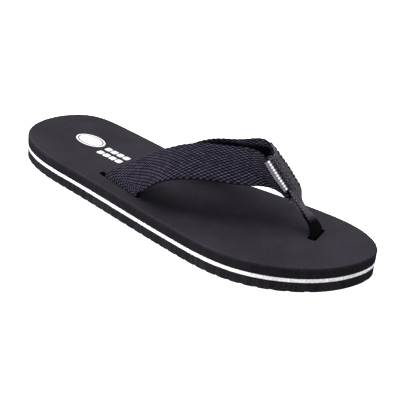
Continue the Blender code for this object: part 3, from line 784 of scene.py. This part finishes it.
def stitch_row(name, share):
    """Separate stitches down the tape at a share of its width: each rises and goes down again."""
    fine = np.linspace(*SEAM_SPAN, SEAM_SAMPLES)
    point, normal = tape.place(fine, np.full_like(fine, share))
    point = point - normal * sewn_edges(fine, share)[:, None]
    run = np.concatenate([[0], np.cumsum(np.linalg.norm(np.diff(point, axis=0), axis=1))])
    count = int(run[-1] / STITCH_PITCH)
    steps, around = STITCH_STEPS, STITCH_SIDES
    points, faces, uv = [], [], []
    for stitch in range(count):
        reach = (stitch + np.linspace(*STITCH_SPAN, steps)) * STITCH_PITCH
        centre = np.stack([np.interp(reach, run, point[:, k]) for k in range(3)], axis=1)
        up = np.stack([np.interp(reach, run, normal[:, k]) for k in range(3)], axis=1)
        t = np.linspace(-1, 1, steps)
        centre = centre + up * (STITCH_RADIUS * STITCH_SEAT - STITCH_DIVE * t**DIVE_POWER)[:, None]
        forward = np.gradient(centre, axis=0)
        forward /= np.linalg.norm(forward, axis=1)[:, None]
        beside = np.cross(forward, up)
        beside /= np.linalg.norm(beside, axis=1)[:, None]
        over = np.cross(beside, forward)
        turn = np.linspace(0, 2 * math.pi, around, endpoint=False)
        ring = (centre[:, None] + beside[:, None] * (np.cos(turn) * STITCH_RADIUS)[None, :, None]
                + over[:, None] * (np.sin(turn) * STITCH_RADIUS)[None, :, None])
        base = len(points) * steps * around
        points.append(to_world(ring).reshape(-1, 3))
        faces += [[i + base for i in face] for face in tube_faces(steps, around)]
        turns = (turn / (2 * math.pi))[None, :]
        grid = np.stack(np.broadcast_arrays(t[:, None], turns), axis=-1)
        uv.append(grid.reshape(-1, 2))
    piece = mesh_object(name, np.vstack(points), faces, seam_thread, np.vstack(uv))
    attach(piece, SOLE)
    return piece


for line, share in STITCH_LINES.items():
    piece = stitch_row(f"stitches_{line}", share)
    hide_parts(f"seam_thread_{line}")


def set_look(node, look):
    """Gives a CAD part that stays as it is its material."""
    mesh = nodes[node].data
    mesh.materials.clear()
    mesh.materials.append(look)


# The footbed's sides take a colour much darker than its top, which paints shade on them.
set_look("footbed", foam_look("footbed_foam", FOOTBED_SKIN, FOOTBED_SHADED_SIDE, FOOTBED_STREAKS))
# The midsole's top face shows only at the bottom of the slots, where the cement and painted shade darken
# it.
white_foam = foam_look("white_foam", MIDSOLE_CEMENT_AND_SHADE, MIDSOLE_WHITE, MIDSOLE_STREAKS,
                       MIDSOLE_ROUGHNESS, seams=MIDSOLE_LEVELS)
set_look("midsole", white_foam)
set_look("toe_anchor", foam_look("anchor_plastic", ANCHOR_GREY, ANCHOR_GREY, ANCHOR_STREAKS))


# ---- outsole: cut side with fine ribs, and grooves across the underside ----
def sole_rows(heel, toe):
    """Places along the sole: close together at the round ends and at the walls of each groove."""
    turn = np.linspace(TIP_MARGIN, math.pi - TIP_MARGIN, TIP_ROWS)
    places = [(heel + toe) / 2 + (heel - toe) / 2 * np.cos(turn)]
    grooves = np.arange(-GROOVE_REACH, GROOVE_REACH + 1, GROOVE_PITCH)
    for offset in (-1, 1):
        wall = grooves + offset * GROOVE_WIDTH / 2
        places += [wall - GROOVE_SLOPE / 2, wall + GROOVE_SLOPE / 2]
    places = np.sort(np.concatenate(places))[::-1]
    apart = np.concatenate([[True], -np.diff(places) > ROW_APART])
    return places[apart]


def sole_edges():
    """The outsole's lateral and medial edges in millimetres, at the same places from heel to toe."""
    mesh = nodes["outsole"].data
    points = np.array([vertex.co[:] for vertex in mesh.vertices]) / MM
    ring = points[points[:, 2] > OUTSOLE_TOP - LEVEL_MARGIN][:, :2]
    from_middle = np.linalg.norm(ring - ANCHOR_CENTRE, axis=1)
    ring = ring[from_middle > ANCHOR_POCKET]
    heel, toe = ring[ring[:, 1].argmax()], ring[ring[:, 1].argmin()]
    places = sole_rows(heel[1], toe[1])
    split = toe[0] + (ring[:, 1] - toe[1]) / (heel[1] - toe[1]) * (heel[0] - toe[0])
    sides = []
    lateral, medial = ring[:, 0] <= split + SPLIT_MARGIN, ring[:, 0] >= split - SPLIT_MARGIN
    for half in (ring[lateral], ring[medial]):
        half = half[np.argsort(half[:, 1])]
        sides.append(np.interp(places, half[:, 1], half[:, 0]))
    return places, sides[0], sides[1]


def groove_height(y):
    """Zero on the ground, and up to a groove's depth inside the grooves across the sole."""
    from_groove = np.abs((y + GROOVE_REACH + GROOVE_PITCH / 2) % GROOVE_PITCH - GROOVE_PITCH / 2)
    inside = (GROOVE_WIDTH / 2 + GROOVE_SLOPE / 2 - from_groove) / GROOVE_SLOPE
    return GROOVE_DEPTH * np.clip(inside, 0, 1) * (np.abs(y) < GROOVE_REACH + GROOVE_WIDTH)


def make_outsole():
    """The grooved underside, the cut side in rings from the ground up, and the flat top."""
    places, lateral, medial = sole_edges()
    share = np.linspace(0, 1, SOLE_COLUMNS)
    x = lateral[:, None] + (medial - lateral)[:, None] * share
    y = places[:, None] * np.ones_like(x)
    rim_depth = np.clip(np.minimum(share, 1 - share) * SOLE_COLUMNS / RIM_COLUMNS, GROOVE_RIM, 1)
    under = np.stack([x, y, groove_height(y) * rim_depth], axis=-1)
    index = np.arange(x.size).reshape(x.shape)
    rim = np.concatenate([index[:, 0], index[-1, 1:-1], index[::-1, -1], index[0, -2:0:-1]])
    edge = under.reshape(-1, 3)[rim]
    run = np.concatenate([[0], np.cumsum(np.linalg.norm(np.diff(edge[:, :2], axis=0), axis=1))])
    outward = np.stack([-np.gradient(edge[:, 1]), np.gradient(edge[:, 0])], axis=1)
    outward /= np.linalg.norm(outward, axis=1)[:, None]
    centre = edge[:, :2].mean(axis=0)
    if ((edge[:, :2] - centre) * outward).sum() < 0:
        outward = -outward
    random = np.random.default_rng(RIB_SEED)
    rib_places = np.arange(0, run[-1] + RIB_PITCH, RIB_PITCH)
    ribs = np.interp(run, rib_places, random.uniform(0, 1, int(run[-1] / RIB_PITCH) + 2))
    points, faces = [under.reshape(-1, 3)], []
    grid = np.stack([index[:-1, :-1], index[1:, :-1], index[1:, 1:], index[:-1, 1:]], axis=-1)
    faces += grid.reshape(-1, 4).tolist()
    below, count = rim, len(rim)
    for level, deep in zip(SIDE_LEVELS, SIDE_SHARES):
        ring = edge.copy()
        ring[:, 2] = edge[:, 2] + (OUTSOLE_TOP - edge[:, 2]) * level / OUTSOLE_TOP
        ring[:, :2] -= outward * (RIB_DEPTH * deep * ribs)[:, None]
        above = np.arange(count) + sum(len(part) for part in points)
        points.append(ring)
        wall = np.stack([below, np.roll(below, -1), np.roll(above, -1), above], axis=-1)
        faces += wall.tolist()
        below = above
    faces.append(below.tolist())
    look = foam_look("outsole_foam", OUTSOLE_SKIN, OUTSOLE_CUT, OUTSOLE_STREAKS)
    piece = mesh_object("outsole_tread", np.vstack(points) * MM, faces, look, smooth=False)
    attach(piece, SOLE)
    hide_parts("outsole")


make_outsole()


# ---- print on the heel: plain shapes in white ink ----
def ellipse(centre, half):
    """The outline of an ellipse."""
    turn = np.linspace(0, 2 * math.pi, ELLIPSE_STEPS, endpoint=False)
    return np.stack([centre[0] + half[0] * np.cos(turn), centre[1] + half[1] * np.sin(turn)], axis=1)


def rounded_block(u, v, half_u, half_v, radius):
    """The outline of a rectangle with rounded corners."""
    corners = [(1, 1), (-1, 1), (-1, -1), (1, -1)]
    points = []
    for number, (a, b) in enumerate(corners):
        turn = np.linspace(number, number + 1, CORNER_STEPS) * math.pi / 2
        points.append(np.stack([
            u + a * (half_u - radius) + radius * np.cos(turn),
            v + b * (half_v - radius) + radius * np.sin(turn),
        ], axis=1))
    return np.vstack(points)


def ink_shape(outer, inner=None):
    """Points and faces of one printed shape: a thin slab with a softened rim, or a ring of it."""
    centre = outer.mean(axis=0)
    low, high = FOOTBED_TOP - INK_SINK, FOOTBED_TOP + INK_TOP
    inward = centre + (outer - centre) * (1 - INK_SOFT / np.linalg.norm(outer - centre, axis=1))[:, None]
    rings = [(outer, low), (outer, high - INK_SHOULDER), (inward, high)]
    if inner is not None:
        rings += [(inner, high), (inner, low)]
    points = np.vstack([np.column_stack([ring, np.full(len(ring), z)]) for ring, z in rings])
    faces = tube_faces(len(rings), len(outer))
    if inner is not None:
        faces = faces[:-2]
        last = (len(rings) - 1) * len(outer)
        here = np.arange(len(outer))
        there = np.roll(here, -1)
        faces += np.stack([here, there, last + there, last + here], axis=-1).tolist()
    return points, faces


def make_print():
    """A ringed ellipse and two rows of blocks behind it, in one piece."""
    shapes = [
        ink_shape(ellipse(PRINT_DISC, RING_OUTSIDE), ellipse(PRINT_DISC, RING_INSIDE)),
        ink_shape(ellipse(PRINT_DISC, DISC_SIZE)),
    ]
    half_block = PRINT_BLOCK_PITCH * PRINT_BLOCK_SHARE
    for row_u, row_v, half in PRINT_ROWS:
        for block in range(PRINT_BLOCKS):
            u = row_u + (block + 0.5) * PRINT_BLOCK_PITCH
            shapes.append(ink_shape(rounded_block(u, row_v, half_block, half, PRINT_BLOCK_CORNER)))
    points, faces, base = [], [], 0
    for shape_points, shape_faces in shapes:
        points.append(shape_points)
        faces += [[corner + base for corner in face] for face in shape_faces]
        base += len(shape_points)
    piece = mesh_object("heel_print", to_world(np.vstack(points)), faces, ink_look(), smooth=False)
    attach(piece, SOLE)


make_print()


# ---------------------------------------------------------------- label
def make_label():
    """A strip of satin folded over on itself: the fold is the free edge, both ends are in the seam."""
    half = LABEL_THICKNESS / 2
    gap = half - PLY
    fold = LABEL_WIDTH - half
    turn = np.linspace(math.pi / 2, -math.pi / 2, FOLD_OUTSIDE)
    flat = np.linspace(-LABEL_TUCK, fold, LABEL_COLUMNS)
    outside = np.concatenate([
        np.column_stack([flat, np.full(LABEL_COLUMNS, half)])[:-1],
        np.column_stack([fold + half * np.cos(turn), half * np.sin(turn)]),
        np.column_stack([flat, np.full(LABEL_COLUMNS, -half)])[-2::-1],
    ])
    inner_turn = np.linspace(-math.pi / 2, math.pi / 2, FOLD_INSIDE)
    inside = np.concatenate([
        [[-LABEL_TUCK, -gap]],
        np.column_stack([fold + gap * np.cos(inner_turn), gap * np.sin(inner_turn)]),
        [[-LABEL_TUCK, gap]],
    ])
    loop = np.concatenate([outside, inside])
    along = np.linspace(-LABEL_LENGTH / 2, LABEL_LENGTH / 2, LABEL_ROWS)
    rib = LABEL_RIB_HEIGHT * np.sin(2 * math.pi * along / LABEL_RIB)
    sag = LABEL_SAG * np.sin(math.pi * (along / LABEL_LENGTH + 0.5)) ** 2
    curl = LABEL_CURL * np.clip(-2 * along / LABEL_LENGTH, 0, 1) ** LABEL_BEND
    back = loop[None, :, 0] * np.ones((LABEL_ROWS, 1))
    outward = np.sign(loop[None, :, 1]) * (np.abs(loop[None, :, 1]) > gap + PLY_MARGIN)
    bend = (curl - sag)[:, None] * (np.clip(back, 0, None) / LABEL_WIDTH) ** LABEL_BEND
    bend = bend + TUCK_SLOPE * np.clip(back, None, 0)
    up = loop[None, :, 1] + rib[:, None] * outward + bend
    points = (LABEL_HINGE + along[:, None, None] * LABEL_AXIS + back[..., None] * LABEL_BACK
              + up[..., None] * LABEL_NORMAL)
    front = np.where(np.arange(len(loop)) < len(outside) // 2, loop[:, 0], LABEL_BACK_FACE)
    uv = np.stack(np.broadcast_arrays(along[:, None] + LABEL_LENGTH / 2, front[None, :]), axis=-1)
    piece = mesh_object("folded_label", points.reshape(-1, 3) * MM, tube_faces(LABEL_ROWS, len(loop)),
                        label_look(), uv.reshape(-1, 2))
    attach(piece, LABEL)
    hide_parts("flag_label")


make_label()


# ---------------------------------------------------------------- stage, light and camera
def add_floor():
    """A pale floor that glows a little and sends no light back onto the object."""
    bpy.ops.mesh.primitive_plane_add(size=FLOOR_SIZE, location=(0, 0, -FLOOR_DROP))
    floor = bpy.context.object
    floor.name = "floor"
    n = Nodes("pale_floor")
    diffuse = n.add("ShaderNodeBsdfDiffuse")
    diffuse.inputs["Color"].default_value = (*FLOOR_GREY, 1)
    glow = n.add("ShaderNodeEmission")
    glow.inputs["Color"].default_value = (1, 1, 1, 1)
    glow.inputs["Strength"].default_value = FLOOR_GLOW
    both = n.add("ShaderNodeAddShader")
    n.link(diffuse.outputs[0], both.inputs[0])
    n.link(glow.outputs[0], both.inputs[1])
    n.link(both.outputs[0], n.tree.nodes["Material Output"].inputs["Surface"])
    floor.data.materials.append(n.material)
    floor.visible_diffuse = False
    floor.visible_glossy = False


def add_area(name, place, target, size, power):
    """A round soft light that points at the target."""
    light = bpy.data.lights.new(name, "AREA")
    light.shape = "DISK"
    light.size = size
    light.energy = power
    made = bpy.data.objects.new(name, light)
    made.location = place
    made.rotation_euler = (Vector(target) - Vector(place)).to_track_quat("-Z", "Y").to_euler()
    bpy.context.scene.collection.objects.link(made)


def add_camera():
    """The camera that sees the object at the photographed angle."""
    azimuth, elevation, roll = (math.radians(angle) for angle in CAMERA_TURN)
    back = Vector((math.sin(azimuth) * math.cos(elevation),
                   -math.cos(azimuth) * math.cos(elevation), math.sin(elevation)))
    level = Vector((math.cos(azimuth), math.sin(azimuth), 0))
    up = back.cross(level)
    right = level * math.cos(roll) + up * math.sin(roll)
    above = up * math.cos(roll) - level * math.sin(roll)
    place = (back * CAMERA_AWAY[0] + right * CAMERA_AWAY[1] + above * CAMERA_AWAY[2]) * MM
    place += Vector((-V_MIDDLE, U_MIDDLE - CAMERA_MIDDLE, 0)) * MM
    camera = bpy.data.cameras.new("camera")
    camera.sensor_width = SENSOR_WIDTH
    camera.lens = FOCAL_SHARE * SENSOR_WIDTH
    camera.clip_start = CLIP_NEAR
    camera.clip_end = CLIP_FAR
    made = bpy.data.objects.new("camera", camera)
    made.matrix_world = Matrix((
        (right.x, above.x, back.x, place.x),
        (right.y, above.y, back.y, place.y),
        (right.z, above.z, back.z, place.z),
        (0, 0, 0, 1),
    ))
    bpy.context.scene.collection.objects.link(made)
    bpy.context.scene.camera = made


def add_world():
    """White light from all round."""
    world = bpy.data.worlds.new("studio")
    world.use_nodes = True
    background = world.node_tree.nodes["Background"]
    background.inputs["Color"].default_value = (1, 1, 1, 1)
    background.inputs["Strength"].default_value = WORLD_STRENGTH
    bpy.context.scene.world = world


add_floor()
add_world()
for light_settings in LIGHTS:
    add_area(*light_settings)
add_camera()
bpy.context.scene.view_settings.view_transform = "Standard"
bpy.context.scene.view_settings.look = "None"

bpy.context.view_layer.update()
